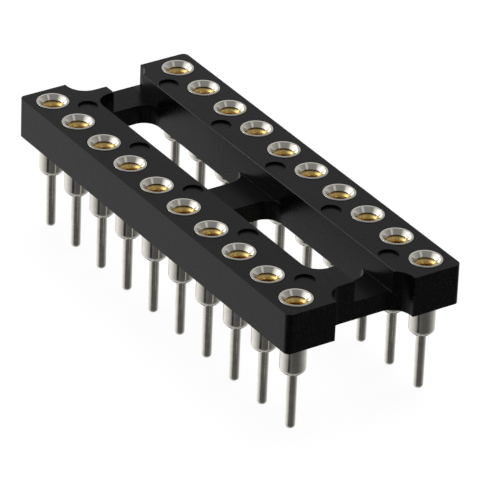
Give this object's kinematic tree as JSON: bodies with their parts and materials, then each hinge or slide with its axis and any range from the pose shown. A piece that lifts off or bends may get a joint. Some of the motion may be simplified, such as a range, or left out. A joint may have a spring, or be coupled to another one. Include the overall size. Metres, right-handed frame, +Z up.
{
  "type": "ic socket",
  "caption": "Low open-frame dual in-line chip socket: a black moulded ladder frame with turned, plated pin sleeves in both rails and sprung gold contact clips inside them.",
  "frame": {"origin": "middle of the pin pattern, on the board surface that the sleeves' shoulders stand on", "axes": "+X along the rows, away from the pin 1 end; +Y from the row that holds pin 1 to the other row; +Z up, the way a chip is pulled out"},
  "size_m": [0.0254, 0.0102, 0.0074],
  "materials": {
    "housing": "moulded, satin",
    "sleeve": "turned, tin plated",
    "contact": "stamped and formed, gold flashed"
  },
  "bodies": {
    "root": {"housing": "housing", "sleeve_01": "sleeve", "sleeve_02": "sleeve", "sleeve_03": "sleeve", "sleeve_04": "sleeve", "sleeve_05": "sleeve", "sleeve_06": "sleeve", "sleeve_07": "sleeve", "sleeve_08": "sleeve", "sleeve_09": "sleeve", "sleeve_10": "sleeve", "sleeve_11": "sleeve", "sleeve_12": "sleeve", "sleeve_13": "sleeve", "sleeve_14": "sleeve", "sleeve_15": "sleeve", "sleeve_16": "sleeve", "sleeve_17": "sleeve", "sleeve_18": "sleeve", "sleeve_19": "sleeve", "sleeve_20": "sleeve", "contact_01": "contact", "contact_02": "contact", "contact_03": "contact", "contact_04": "contact", "contact_05": "contact", "contact_06": "contact", "contact_07": "contact", "contact_08": "contact", "contact_09": "contact", "contact_10": "contact", "contact_11": "contact", "contact_12": "contact", "contact_13": "contact", "contact_14": "contact", "contact_15": "contact", "contact_16": "contact", "contact_17": "contact", "contact_18": "contact", "contact_19": "contact", "contact_20": "contact"}
  },
  "joints": []
}
